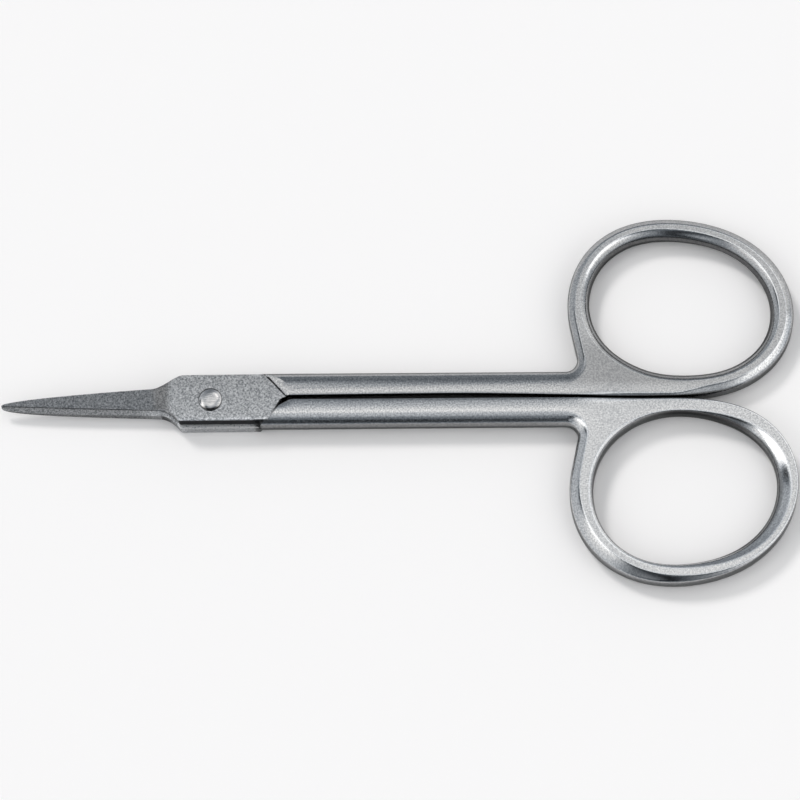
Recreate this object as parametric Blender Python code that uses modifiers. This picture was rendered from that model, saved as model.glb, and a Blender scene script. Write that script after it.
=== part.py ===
"""Nail scissors: two forged steel halves crossed on one rivet, closed and lying flat.

Metres, +Z up. The tips point along -X, the finger rings lie along +X, and the origin
is on the pivot axis, level with the flat back of the joint.

Each half is drawn in the same local frame, whose z = 0 is the plane between the two
leaves: blade on the -Y side, shank and ring on the +Y side, and its own leaf below
z = 0. The back half keeps that pose, and the front half is turned over about the X axis.
"""

import math
from typing import NamedTuple

import bmesh
import bpy
from mathutils import Matrix, Vector

MM = 0.001

# Joint: two flat leaves, one on the other, with the rivet through both.
LEAF_THICK = 1.6 * MM
LEAF_CLEARANCE = 0.06 * MM
LEAF_OVERRUN = 0.24 * MM
JOINT_EDGE_SIDE = 2.44 * MM
JOINT_FRONT = 3.55 * MM
EDGE_BREAK = 0.08 * MM

# Shoulders: each shank starts at a 45 degree wall.
SHOULDER_CLEARANCE = 0.1 * MM
SHOULDER_RELIEF = 0.02 * MM
NOSE_HALF_WIDTH = 0.33 * MM
NOSE_SETBACK = 1.0 * MM
NOSE_SLOPE = 0.62
FACET_DEPTH = 0.2 * MM
FACET_SETBACK = 0.55 * MM
FACET_RISE_X = 0.385
FACET_RISE_Y = 0.125
FACET_CUTTER = Vector((5.0, 8.0, 3.0)) * MM

# Blades: a spine that swells from the tip, a straight cutting edge, and an outer face
# ground to a wedge. Widths are from the middle line, thicknesses from the flat.
TIP_REACH = 24.1 * MM
TIP_LAND = 0.03 * MM
BLADE_ROOT = 6.9 * MM
SPINE_THICK = 1.4 * MM
EDGE_AT_TIP = 0.04 * MM
EDGE_AT_ROOT = 0.68 * MM
EDGE_LAND = 0.14 * MM
GRIND_END = 4.2 * MM
NOTCH_START = 6.0 * MM

# Shanks: side by side with a narrow slit between them, which may open wider at the
# joint and narrows towards the rings. Each edge of the bar is a quarter oval: so far in
# from the side, and so far down from the crown.
SLIT = 0.2 * MM
SLIT_OPENING_START = 7.5 * MM
SLIT_OPENING_END = 9.4 * MM
SLIT_NARROWING = 26.0 * MM
SHANK_THICK = 3.0 * MM
SHANK_STUB = 5.0 * MM
OWN_OUTER_ROUND = (1.6 * MM, 1.35 * MM)
OWN_INNER_ROUND = (1.3 * MM, 0.24 * MM)
OTHER_OUTER_ROUND = (1.85 * MM, 1.35 * MM)
OTHER_INNER_ROUND = (0.8 * MM, 0.07 * MM)
CONTACT_ROUND = (0.45 * MM, 0.4 * MM)

# Finger rings: one bar bent to an egg-shaped oval. The radius is a mean with small waves
# of two, three and four lobes. The bar reaches so far to the outside and to the inside of
# that line.
RING_CENTRE_X = 53.07 * MM
RING_RADIUS = 10.745 * MM
RING_OVAL = 1.015 * MM
RING_OVAL_TURN = math.radians(-6.5)
RING_EGG = 0.242 * MM
RING_EGG_TURN = math.radians(-10.5)
RING_SQUARE = 0.12 * MM
RING_SQUARE_TURN = math.radians(51)
RING_BAR_OUTSIDE = 1.17 * MM
RING_BAR_INSIDE = 1.36 * MM
RING_BAR_THICK = 2.5 * MM
RING_LEAVE = math.radians(190)
JUNCTION_FILLET = 1.3 * MM
THINNING_START = 41.0 * MM
THINNING_END = 50.0 * MM
CONTACT_SPREAD = math.radians(26)

# Bevels of the ring's bar, along its rim and round its hole. On the leaf's own face
# they run from narrow to wide and back, widest at the turn, and on the other face they
# are even. Each falls in a straight slope to its foot and then steeply to the side.
OWN_RIM_NARROW = 0.15 * MM
OWN_RIM_WIDE = 1.2 * MM
OWN_RIM_TURN = math.radians(155)
OWN_RIM_FALL = 0.68
OTHER_RIM_FALL = 0.75
RIM_FOOT = 0.1
RIM_SIDE = 0.25 * MM
OWN_HOLE_NARROW = 0.5 * MM
OWN_HOLE_WIDE = 1.55 * MM
OWN_HOLE_TURN = math.radians(2)
OWN_HOLE_PEAK = 2.4
OWN_HOLE_FALL = 0.45
OWN_HOLE_FOOT = 0.22
OTHER_HOLE_FALL = 0.6
OTHER_HOLE_FOOT = 0.3
HOLE_DEPTH = 1.2 * MM
RIDGE_FLAT = 0.2 * MM
BEVEL_SOFTNESS = 0.15

# Rivet: a shaft with a low domed head in front, peened flush into the back.
RIVET_SHAFT_R = 0.95 * MM
RIVET_HEAD_R = 1.25 * MM
RIVET_HEAD_SIDE = 0.28 * MM
RIVET_DOME = 0.2 * MM
RIVET_DOME_CURVE = 4
COUNTERBORE_DEPTH = 0.25 * MM
COUNTERBORE_CLEARANCE = 0.12 * MM
RIVET_PEEN_R = 1.25 * MM
RIVET_PEEN_DEPTH = 0.4 * MM
RUNNING_CLEARANCE = 0.03 * MM
SEAT_CLEARANCE = 0.02 * MM


class Swelling(NamedTuple):
    """How far an outline swells outwards at an angle of the ring, and how widely."""

    height: float
    angle: float
    spread: float


class HalfSizes(NamedTuple):
    """What differs between the halves, as each is forged and ground by itself. The
    shoulder is where x + |y| reaches this value. The spine swells from the blade to the
    joint: with settle 1 it ends in a corner, and with settle 2 it bends back softly.
    The slit side is how far the shank's inner side is from the middle line, the bow is
    how much farther it is halfway, and the opening how much farther at the joint.
    The stretch makes the ring longer or shorter across the scissors, and the hole is a
    little off its middle. A hole that swells inwards leaves a web next to the shank."""

    shoulder: float
    slit_side: float
    slit_bow: float
    slit_opening: float
    shank_at_joint: float
    shank_at_ring: float
    spine_at_root: float
    spine_power: float
    joint_side: float
    swell_start: float
    swell_end: float
    swell_settle: int
    ring_stretch: float
    ring_swelling: Swelling
    hole_shift: tuple
    hole_swelling: Swelling
    other_rim: float
    other_hole: float


BACK = HalfSizes(
    shoulder=9.05 * MM,
    slit_side=0.52 * MM,
    slit_bow=0.04 * MM,
    slit_opening=0.0,
    shank_at_joint=3.44 * MM,
    shank_at_ring=3.28 * MM,
    spine_at_root=1.32 * MM,
    spine_power=0.3,
    joint_side=2.9 * MM,
    swell_start=5.9 * MM,
    swell_end=3.5 * MM,
    swell_settle=1,
    ring_stretch=0.985,
    ring_swelling=Swelling(-0.12 * MM, math.radians(-38), math.radians(22)),
    hole_shift=(-0.12 * MM, 0.06 * MM),
    hole_swelling=Swelling(-0.85 * MM, math.radians(-133), math.radians(32)),
    other_rim=0.8 * MM,
    other_hole=0.95 * MM,
)
FRONT = HalfSizes(
    shoulder=8.5 * MM,
    slit_side=-0.17 * MM,
    slit_bow=0.12 * MM,
    slit_opening=0.65 * MM,
    shank_at_joint=3.05 * MM,
    shank_at_ring=3.12 * MM,
    spine_at_root=1.43 * MM,
    spine_power=0.58,
    joint_side=3.0 * MM,
    swell_start=6.7 * MM,
    swell_end=3.1 * MM,
    swell_settle=2,
    ring_stretch=0.997,
    ring_swelling=Swelling(-0.28 * MM, math.radians(135), math.radians(35)),
    hole_shift=(0.14 * MM, 0.26 * MM),
    hole_swelling=Swelling(1.05 * MM, math.radians(-88), math.radians(38)),
    other_rim=0.2 * MM,
    other_hole=0.2 * MM,
)

# How finely the curves are divided.
RING_STEPS = 60
HOLE_STEPS = 56
ROUND_STEPS = 3
CURVE_STEPS = 8
SEARCH_STEPS = 200
BLADE_STEPS = 14
TURN_STEPS = 32
DOME_STEPS = 4
HEADING_STEP = math.radians(0.5)
MERGE_DISTANCE = 0.01 * MM
SHARP_ANGLE = math.radians(30)

CUT_MARGIN = 4.0 * MM

# Finishes: satin on the halves, and brighter on the rivet.
SATIN_GREY = (0.56, 0.57, 0.58)
SATIN_ROUGHNESS = 0.32
BRIGHT_GREY = (0.72, 0.72, 0.72)
BRIGHT_ROUGHNESS = 0.2


def clear_scene():
    for obj in list(bpy.data.objects):
        bpy.data.objects.remove(obj, do_unlink=True)


def new_collection(name):
    collection = bpy.data.collections.new(name)
    bpy.context.scene.collection.children.link(collection)
    return collection


def steel(name, colour, roughness):
    material = bpy.data.materials.new(name)
    material.use_nodes = True
    shader = material.node_tree.nodes["Principled BSDF"]
    shader.inputs["Base Color"].default_value = (*colour, 1.0)
    shader.inputs["Metallic"].default_value = 1.0
    shader.inputs["Roughness"].default_value = roughness
    return material


def clamped_share(value, start, end):
    """How far a value has come from start to end, from 0 to 1."""
    return min(max((value - start) / (end - start), 0.0), 1.0)


def smooth_step(value, start, end):
    share = clamped_share(value, start, end)
    return share * share * (3.0 - 2.0 * share)


def mix(a, b, share):
    return a + (b - a) * share


def mix_pair(a, b, share):
    return mix(a[0], b[0], share), mix(a[1], b[1], share)


# Outlines


def arc_points(centre, radius, start, end, steps):
    """Points on an arc, from the start angle to the end angle, both included."""
    angles = [mix(start, end, i / steps) for i in range(steps + 1)]
    return [(centre[0] + radius * math.cos(a), centre[1] + radius * math.sin(a)) for a in angles]


def ring_radius(angle):
    """The radius of the ring's bar along its middle."""
    return (
        RING_RADIUS
        + RING_OVAL * math.cos(2 * (angle - RING_OVAL_TURN))
        + RING_EGG * math.cos(3 * (angle - RING_EGG_TURN))
        + RING_SQUARE * math.cos(4 * (angle - RING_SQUARE_TURN))
    )


def ring_lowest_angle():
    """The angle at which the ring comes nearest to the slit."""
    near = math.radians(-110)
    far = math.radians(-60)
    angles = [mix(near, far, i / SEARCH_STEPS) for i in range(SEARCH_STEPS)]
    return min(angles, key=lambda a: (ring_radius(a) + RING_BAR_OUTSIDE) * math.sin(a))


def ring_centre_y(stretch):
    low = ring_lowest_angle()
    return SLIT / 2 - stretch * (ring_radius(low) + RING_BAR_OUTSIDE) * math.sin(low)


def swelling(angle, swell):
    """How far an outline stands out at an angle of the ring."""
    off = math.remainder(angle - swell.angle, 2.0 * math.pi) / swell.spread
    return swell.height * math.exp(-off * off)


def ring_point(angle, offset, sizes):
    """A point so far outside the bar's middle line."""
    radius = ring_radius(angle) + swelling(angle, sizes.ring_swelling) + offset
    across = sizes.ring_stretch * radius * math.sin(angle)
    return RING_CENTRE_X + radius * math.cos(angle), ring_centre_y(sizes.ring_stretch) + across


def bevel(width, foot, fall, depth):
    """Corners of a bevel, as pairs of inset and drop, from the flat face down to the side."""
    return (width + RIDGE_FLAT, 0.0), (width, 0.0), (foot * width, fall * width), (0.0, depth)


def rim_bevels(angle, sizes):
    """The bevels of the rim at an angle of the ring, on the own face and on the other."""
    turn = (1.0 + math.cos(angle - OWN_RIM_TURN)) / 2
    own = mix(OWN_RIM_NARROW, OWN_RIM_WIDE, turn * turn)
    other = sizes.other_rim
    return (
        bevel(own, RIM_FOOT, OWN_RIM_FALL, OWN_RIM_FALL * own + RIM_SIDE),
        bevel(other, RIM_FOOT, OTHER_RIM_FALL, OTHER_RIM_FALL * other + RIM_SIDE),
    )


def hole_bevels(angle, sizes):
    """The bevels round the hole at an angle of the ring, on the own face and on the other.
    Where the hole leaves less of the bar, the own bevel is narrower."""
    turn = (1.0 + math.cos(angle - OWN_HOLE_TURN)) / 2
    bar = RING_BAR_OUTSIDE + RING_BAR_INSIDE
    left = min(1.0 - swelling(angle, sizes.hole_swelling) / bar, 1.0)
    own = left * left * mix(OWN_HOLE_NARROW, OWN_HOLE_WIDE, turn**OWN_HOLE_PEAK)
    return (
        bevel(own, OWN_HOLE_FOOT, OWN_HOLE_FALL, HOLE_DEPTH),
        bevel(sizes.other_hole, OTHER_HOLE_FOOT, OTHER_HOLE_FALL, HOLE_DEPTH),
    )


def hole_outline(sizes):
    """The finger hole, clockwise."""
    points = []
    for i in range(HOLE_STEPS):
        angle = -2.0 * math.pi * i / HOLE_STEPS
        offset = swelling(angle, sizes.hole_swelling) - RING_BAR_INSIDE
        x, y = ring_point(angle, offset, sizes)
        place = (x + sizes.hole_shift[0], y + sizes.hole_shift[1])
        points.append((*place, (CONTACT_ROUND, CONTACT_ROUND), hole_bevels(angle, sizes), 1.0))
    return points


def junction_outline(sizes):
    """The ring's side running straight down to the fillet above the shank."""
    shank_side = sizes.shank_at_ring
    start = ring_point(RING_LEAVE, RING_BAR_OUTSIDE, sizes)
    ahead = ring_point(RING_LEAVE + HEADING_STEP, RING_BAR_OUTSIDE, sizes)
    heading = math.atan2(ahead[1] - start[1], ahead[0] - start[0])
    turn = heading + math.pi
    run = (start[1] - shank_side) / math.tan(-heading)
    corner_x = start[0] + run
    back_off = JUNCTION_FILLET / math.tan((math.pi - turn) / 2)
    centre = (corner_x - back_off, shank_side + JUNCTION_FILLET)
    return arc_points(centre, JUNCTION_FILLET, heading + math.pi / 2, -math.pi / 2, CURVE_STEPS)


def fitted(rounding, room):
    """An oval edge that leaves a narrow flat where there is little room for it."""
    return min(rounding[0], room - RIDGE_FLAT), rounding[1]


def handle_outline(sizes):
    """Shank and ring, anticlockwise from the slit's end. Each point has the oval and the
    bevel of its edge, on the leaf's own face and on the other, and the bevel's share."""
    low = ring_lowest_angle()
    narrowest = min(sizes.shank_at_joint, sizes.shank_at_ring)
    stretches = (SLIT_OPENING_START, SLIT_OPENING_END, THINNING_START, THINNING_END)
    slit = [SHANK_STUB]
    for start, end in zip(stretches, stretches[1:]):
        slit += [mix(start, end, i / CURVE_STEPS) for i in range(CURVE_STEPS)]
    points = []
    for x in slit:
        bow = math.sin(math.pi * clamped_share(x, SHANK_STUB, THINNING_END))
        opening = 1.0 - smooth_step(x, SLIT_OPENING_START, SLIT_OPENING_END)
        open_side = sizes.slit_side + sizes.slit_bow * bow + sizes.slit_opening * opening
        side = mix(open_side, SLIT / 2, smooth_step(x, SLIT_NARROWING, THINNING_END))
        share = smooth_step(x, THINNING_START, THINNING_END)
        own = fitted(OWN_INNER_ROUND, narrowest - side - OWN_OUTER_ROUND[0])
        other = fitted(OTHER_INNER_ROUND, narrowest - side - OTHER_OUTER_ROUND[0])
        ovals = (mix_pair(own, CONTACT_ROUND, share), mix_pair(other, CONTACT_ROUND, share))
        points.append((x, side, ovals, rim_bevels(low, sizes), 0.0))
    for i in range(RING_STEPS + 1):
        angle = mix(low, RING_LEAVE, i / RING_STEPS)
        share = smooth_step(angle, low, low + CONTACT_SPREAD)
        place = ring_point(angle, RING_BAR_OUTSIDE, sizes)
        points.append((*place, (CONTACT_ROUND, CONTACT_ROUND), rim_bevels(angle, sizes), share))
    ovals = (OWN_OUTER_ROUND, OTHER_OUTER_ROUND)
    bevels = rim_bevels(RING_LEAVE, sizes)
    fillet = junction_outline(sizes)
    for i, point in enumerate(fillet):
        points.append((*point, ovals, bevels, 1.0 - i / (len(fillet) - 1)))
    points.append((SHANK_STUB, sizes.shank_at_joint, ovals, bevels, 0.0))
    return points


def spine_width(x, sizes):
    """From the middle line to the blade's spine, or to that side of the joint."""
    along = (x + TIP_REACH) / (TIP_REACH - BLADE_ROOT)
    swell = clamped_share(x, -sizes.swell_start, -sizes.swell_end) ** 2
    blade = sizes.spine_at_root * along**sizes.spine_power
    return mix(blade, sizes.joint_side, 1.0 - (1.0 - swell) ** sizes.swell_settle)


def edge_width(x):
    """From the middle line to the cutting edge, or through the notch to the joint's side."""
    blade = mix(EDGE_AT_TIP, EDGE_AT_ROOT, (x + TIP_REACH) / (TIP_REACH - BLADE_ROOT))
    return mix(blade, JOINT_EDGE_SIDE, clamped_share(x, -NOTCH_START, -JOINT_FRONT) ** 2)


def blade_stations():
    """Where the blade is divided along its length: closer together at the tip."""
    start = -TIP_REACH + TIP_LAND
    stations = [mix(start, -BLADE_ROOT, (i / BLADE_STEPS) ** 2) for i in range(BLADE_STEPS)]
    steps = 2 * CURVE_STEPS
    return stations + [mix(-BLADE_ROOT, -FRONT.swell_end, i / steps) for i in range(steps + 1)]


def ground_thickness(x, from_edge):
    """The wedge of the blade, blended into the joint's flat face."""
    slope = (SPINE_THICK - EDGE_LAND) / (FRONT.spine_at_root + EDGE_AT_ROOT)
    wedge = min(EDGE_LAND + slope * from_edge, LEAF_THICK)
    return mix(wedge, LEAF_THICK, smooth_step(x, -BLADE_ROOT, -GRIND_END))


def leaf_sides(sizes):
    """The edge side and the spine side, as (x, y, thickness) at the same stations."""
    edge = []
    spine = []
    for x in blade_stations():
        to_edge = edge_width(x)
        to_spine = spine_width(x, sizes)
        edge.append((x, to_edge, ground_thickness(x, 0.0)))
        spine.append((x, -to_spine, ground_thickness(x, to_edge + to_spine)))
    return edge, spine


def leaf_end(end_reach, spine_side):
    """The end of the leaf, under the shanks: a 45 degree side, a nose, and its own shank."""
    end = end_reach - SHOULDER_CLEARANCE
    nose_x = end_reach - NOSE_SETBACK
    corners = (
        (end - spine_side, -spine_side),
        (end - NOSE_HALF_WIDTH, -NOSE_HALF_WIDTH),
        (nose_x, 0.0),
        (nose_x - NOSE_SLOPE * JOINT_EDGE_SIDE, JOINT_EDGE_SIDE),
    )
    return [(x, y, LEAF_THICK) for x, y in corners]


# Solids


def inward_normals(points):
    """Unit vectors into the material, for an anticlockwise outline or a clockwise hole."""
    normals = []
    for i, point in enumerate(points):
        before = points[i - 1]
        after = points[(i + 1) % len(points)]
        along = Vector((after[0] - before[0], after[1] - before[1])).normalized()
        normals.append(Vector((-along.y, along.x)))
    return normals


def add_loops(bm, points, levels):
    """One closed loop of vertices for each level, where a level gives (inset, z) of a point."""
    normals = inward_normals(points)
    loops = []
    for level in levels:
        loop = []
        for point, normal in zip(points, normals):
            inset, z = level(point)
            loop.append(bm.verts.new((point[0] + normal.x * inset, point[1] + normal.y * inset, z)))
        loops.append(loop)
    return loops


def skin_loops(bm, loops):
    for lower, upper in zip(loops, loops[1:]):
        for i in range(len(lower)):
            j = (i + 1) % len(lower)
            bm.faces.new((lower[i], lower[j], upper[j], upper[i]))


def cap(bm, loops):
    """Fills the flat area bounded by one loop, or by a loop and the hole in it."""
    edges = []
    for loop in loops:
        for i, vertex in enumerate(loop):
            edges.append(bm.edges.get((vertex, loop[(i + 1) % len(loop)])))
    bmesh.ops.triangle_fill(bm, edges=edges, use_beauty=True)


def object_from(bm, name, collection):
    bmesh.ops.recalc_face_normals(bm, faces=bm.faces)
    mesh = bpy.data.meshes.new(name)
    bm.to_mesh(mesh)
    bm.free()
    obj = bpy.data.objects.new(name, mesh)
    collection.objects.link(obj)
    return obj


def bar_half_thickness(x):
    share = smooth_step(x, THINNING_START, THINNING_END)
    return mix(SHANK_THICK, RING_BAR_THICK, share) / 2


def oval_edge(rounding, share):
    """Inset and drop part of the way down a quarter-oval edge."""
    angle = math.pi / 2 * (1.0 - share)
    return rounding[0] * (1.0 - math.cos(angle)), rounding[1] * (1.0 - math.sin(angle))


def bevelled_edge(corners, share):
    """Inset and drop part of the way down a bevel, its corners a little softened."""

    def corner_path(share):
        along = clamped_share(share, 0.0, 1.0) * (len(corners) - 1)
        i = min(int(along), len(corners) - 2)
        return mix_pair(corners[i], corners[i + 1], along - i)

    beside = mix_pair(corner_path(share - BEVEL_SOFTNESS), corner_path(share + BEVEL_SOFTNESS), 0.5)
    return mix_pair(beside, corner_path(share), 0.5)


def edge_level(down, side):
    """A level part of the way down the edge of one face: 0 is the flat, 1 the side wall."""

    def level(point):
        x, _, ovals, bevels, share = point
        face = 0 if side < 0 else 1
        edge = mix_pair(oval_edge(ovals[face], down), bevelled_edge(bevels[face], down), share)
        return edge[0], side * (bar_half_thickness(x) - edge[1])

    return level


def handle(name, collection, sizes):
    """Shank and ring as one bar with rounded and bevelled edges."""
    shares = [i / ROUND_STEPS for i in range(ROUND_STEPS + 1)]
    levels = [edge_level(s, -1) for s in shares] + [edge_level(s, 1) for s in reversed(shares)]
    bm = bmesh.new()
    outer = add_loops(bm, handle_outline(sizes), levels)
    hole = add_loops(bm, hole_outline(sizes), levels)
    skin_loops(bm, outer)
    skin_loops(bm, hole)
    cap(bm, (outer[0], hole[0]))
    cap(bm, (outer[-1], hole[-1]))
    return object_from(bm, name, collection)


def edge_break(point):
    """The broken outer corner, smaller where the blade is thin."""
    return EDGE_BREAK * point[2] / LEAF_THICK


def leaf(name, collection, sizes, end_reach):
    """Leaf and blade below z = 0. It reaches above z = 0 too, until the flat is cut."""
    edge, spine = leaf_sides(sizes)
    outline = edge[::-1] + spine + leaf_end(end_reach, sizes.joint_side)
    levels = (
        lambda point: (edge_break(point), -point[2]),
        lambda point: (0.0, edge_break(point) - point[2]),
        lambda point: (0.0, LEAF_OVERRUN),
    )
    bm = bmesh.new()
    loops = add_loops(bm, outline, levels)
    skin_loops(bm, loops)
    last = len(edge) - 1
    for loop in (loops[0], loops[-1]):
        for i in range(last):
            edge_end, spine_end = last - i, last + 1 + i
            bm.faces.new((loop[edge_end], loop[edge_end - 1], loop[spine_end + 1], loop[spine_end]))
        bm.faces.new([loop[0], *reversed(loop[2 * last + 1 :])])
    return object_from(bm, name, collection)


def prism(name, collection, corners, low, high):
    """A cutter with a flat outline, from z = low to z = high."""
    bm = bmesh.new()
    face = bm.faces.new([bm.verts.new((x, y, low)) for x, y in corners])
    lifted = bmesh.ops.extrude_face_region(bm, geom=[face])
    top = [v for v in lifted["geom"] if isinstance(v, bmesh.types.BMVert)]
    bmesh.ops.translate(bm, verts=top, vec=(0.0, 0.0, high - low))
    return hide_cutter(object_from(bm, name, collection))


def hide_cutter(obj):
    obj.hide_render = True
    obj.display_type = "WIRE"
    return obj


def turned(name, collection, profile):
    """A solid of revolution about the pivot, from (radius, z) points, top to bottom."""
    mesh = bpy.data.meshes.new(name)
    edges = [(i, i + 1) for i in range(len(profile) - 1)]
    mesh.from_pydata([(r, 0.0, z) for r, z in profile], edges, [])
    obj = bpy.data.objects.new(name, mesh)
    collection.objects.link(obj)
    screw = obj.modifiers.new("turn", "SCREW")
    screw.steps = TURN_STEPS
    screw.render_steps = TURN_STEPS
    screw.use_merge_vertices = True
    screw.merge_threshold = MERGE_DISTANCE
    screw.use_smooth_shade = False
    return obj


def cut(obj, cutter, operation="DIFFERENCE"):
    modifier = obj.modifiers.new(cutter.name, "BOOLEAN")
    modifier.operation = operation
    modifier.object = cutter


def shoulder_cutter(name, cutters, reach):
    """Clears the other leaf's space: everything above the flat, up to the shoulder."""
    far = TIP_REACH + CUT_MARGIN
    wide = BACK.shank_at_joint + CUT_MARGIN
    corners = ((-far, -wide), (reach, -wide), (reach, 0.0), (reach - wide, wide), (-far, wide))
    return prism(name, cutters, corners, -LEAF_CLEARANCE / 2, LEAF_THICK + CUT_MARGIN)


def corner_cutter(name, cutters, reach):
    """Where the shank is wider than its own leaf, it ends a hair behind the same line."""
    wide = BACK.shank_at_joint + CUT_MARGIN
    reach += SHOULDER_RELIEF
    start = reach - JOINT_EDGE_SIDE
    corners = ((0.0, JOINT_EDGE_SIDE), (start, JOINT_EDGE_SIDE), (reach - wide, wide), (0.0, wide))
    return prism(name, cutters, corners, -LEAF_THICK - CUT_MARGIN, LEAF_THICK + CUT_MARGIN)


def facet_cutter(name, cutters, reach):
    """The flat ground on the shank's end beside the shoulder, sloping up to its crown."""
    centre = Vector((reach - FACET_SETBACK, FACET_SETBACK, SHANK_THICK / 2 - FACET_DEPTH))
    along_x = Vector((1.0, 0.0, FACET_RISE_X)).normalized()
    normal = along_x.cross(Vector((0.0, 1.0, FACET_RISE_Y))).normalized()
    along_y = normal.cross(along_x)
    frame = Matrix((along_x, along_y, normal)).transposed().to_4x4()
    bm = bmesh.new()
    bmesh.ops.create_cube(bm, size=1.0)
    bmesh.ops.scale(bm, vec=FACET_CUTTER, verts=bm.verts)
    bmesh.ops.translate(bm, verts=bm.verts, vec=(0.0, 0.0, FACET_CUTTER.z / 2))
    bmesh.ops.transform(bm, matrix=Matrix.Translation(centre) @ frame, verts=bm.verts)
    return hide_cutter(object_from(bm, name, cutters))


def half(name, parts, cutters, sizes, other_shoulder, bore_profile):
    """One half. Its leaf ends at the other half's shoulder, and its shank at its own."""
    body = handle(name, parts, sizes)
    cut(body, corner_cutter(name + "_shank_end", cutters, sizes.shoulder))
    blade = hide_cutter(leaf(name + "_leaf", cutters, sizes, other_shoulder))
    cut(body, blade, "UNION")
    cut(body, shoulder_cutter(name + "_shoulder", cutters, sizes.shoulder))
    cut(body, facet_cutter(name + "_facet", cutters, sizes.shoulder))
    cut(body, hide_cutter(turned(name + "_bore", cutters, bore_profile)))
    return body


# Rivet and its holes


def peened_bore():
    """Seen in the back half's local frame: the hole and the countersink of its peened end."""
    shaft = RIVET_SHAFT_R + SEAT_CLEARANCE
    peen = RIVET_PEEN_R + SEAT_CLEARANCE
    slope = (RIVET_PEEN_R - RIVET_SHAFT_R) / RIVET_PEEN_DEPTH
    return (
        (0.0, CUT_MARGIN),
        (shaft, CUT_MARGIN),
        (shaft, -LEAF_THICK + RIVET_PEEN_DEPTH),
        (peen, -LEAF_THICK),
        (peen + slope * CUT_MARGIN, -LEAF_THICK - CUT_MARGIN),
        (0.0, -LEAF_THICK - CUT_MARGIN),
    )


def headed_bore():
    """Seen in the front half's local frame: the running hole and the head's counterbore."""
    shaft = RIVET_SHAFT_R + RUNNING_CLEARANCE
    recess = RIVET_HEAD_R + COUNTERBORE_CLEARANCE
    return (
        (0.0, CUT_MARGIN),
        (shaft, CUT_MARGIN),
        (shaft, -LEAF_THICK + COUNTERBORE_DEPTH),
        (recess, -LEAF_THICK + COUNTERBORE_DEPTH),
        (recess, -LEAF_THICK - CUT_MARGIN),
        (0.0, -LEAF_THICK - CUT_MARGIN),
    )


def rivet(name, parts):
    """The rivet, from the top of its dome down to its flush back end."""
    head_under = 2 * LEAF_THICK - COUNTERBORE_DEPTH + SEAT_CLEARANCE
    rim = head_under + RIVET_HEAD_SIDE
    profile = []
    for i in range(DOME_STEPS + 1):
        out = math.sin(math.pi / 2 * i / DOME_STEPS)
        profile.append((RIVET_HEAD_R * out, rim + RIVET_DOME * (1.0 - out**RIVET_DOME_CURVE)))
    profile += [
        (RIVET_HEAD_R, head_under),
        (RIVET_SHAFT_R, head_under),
        (RIVET_SHAFT_R, RIVET_PEEN_DEPTH),
        (RIVET_PEEN_R, 0.0),
        (0.0, 0.0),
    ]
    return turned(name, parts, profile)


def main():
    clear_scene()
    parts = new_collection("nail_scissors")
    cutters = new_collection("cutters")
    satin = steel("satin_steel", SATIN_GREY, SATIN_ROUGHNESS)
    bright = steel("bright_steel", BRIGHT_GREY, BRIGHT_ROUGHNESS)

    back = half("back_half", parts, cutters, BACK, FRONT.shoulder, peened_bore())
    front = half("front_half", parts, cutters, FRONT, BACK.shoulder, headed_bore())
    pin = rivet("pivot_rivet", parts)

    for obj in list(cutters.objects) + [back, front]:
        obj.location.z = LEAF_THICK
        if obj.name.startswith(front.name):
            obj.rotation_euler.x = math.pi

    back.data.materials.append(satin)
    front.data.materials.append(satin)
    pin.data.materials.append(bright)
    for obj in parts.objects:
        obj.data.shade_smooth()
        obj.data.set_sharp_from_angle(angle=SHARP_ANGLE)


main()
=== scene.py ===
"""Nail scissors in satin steel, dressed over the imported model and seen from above."""

import math

import bmesh
import bpy
from mathutils import Matrix, Vector


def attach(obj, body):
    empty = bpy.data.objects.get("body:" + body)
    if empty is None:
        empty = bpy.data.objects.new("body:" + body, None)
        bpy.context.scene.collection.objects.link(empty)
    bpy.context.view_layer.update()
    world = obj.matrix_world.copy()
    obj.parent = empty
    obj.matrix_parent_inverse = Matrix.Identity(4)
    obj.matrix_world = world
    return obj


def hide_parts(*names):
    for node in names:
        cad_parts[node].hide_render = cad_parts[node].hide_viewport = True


MM = 0.001

# Joint and leaves, as in the solids.
LEAF_THICK = 1.6 * MM
LEAF_CLEARANCE = 0.06 * MM
LEAF_OVERRUN = 0.24 * MM
JOINT_EDGE_SIDE = 2.44 * MM
JOINT_FRONT = 3.55 * MM
EDGE_BREAK = 0.1 * MM
SHOULDER_CLEARANCE = 0.1 * MM
SHOULDER_RELIEF = 0.02 * MM
NOSE_HALF_WIDTH = 0.33 * MM
NOSE_SETBACK = 1.0 * MM
NOSE_SLOPE = 0.62
FACET_DEPTH = 0.2 * MM
FACET_SETBACK = 0.55 * MM
FACET_RISE_X = 0.385
FACET_RISE_Y = 0.125
FACET_CUTTER = Vector((5.0, 8.0, 3.0)) * MM

# Blades.
TIP_REACH = 24.1 * MM
TIP_LAND = 0.03 * MM
BLADE_ROOT = 6.9 * MM
SPINE_THICK = 1.4 * MM
EDGE_AT_TIP = 0.04 * MM
EDGE_AT_ROOT = 0.68 * MM
EDGE_LAND = 0.14 * MM
GRIND_END = 4.2 * MM
NOTCH_START = 6.0 * MM

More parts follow.
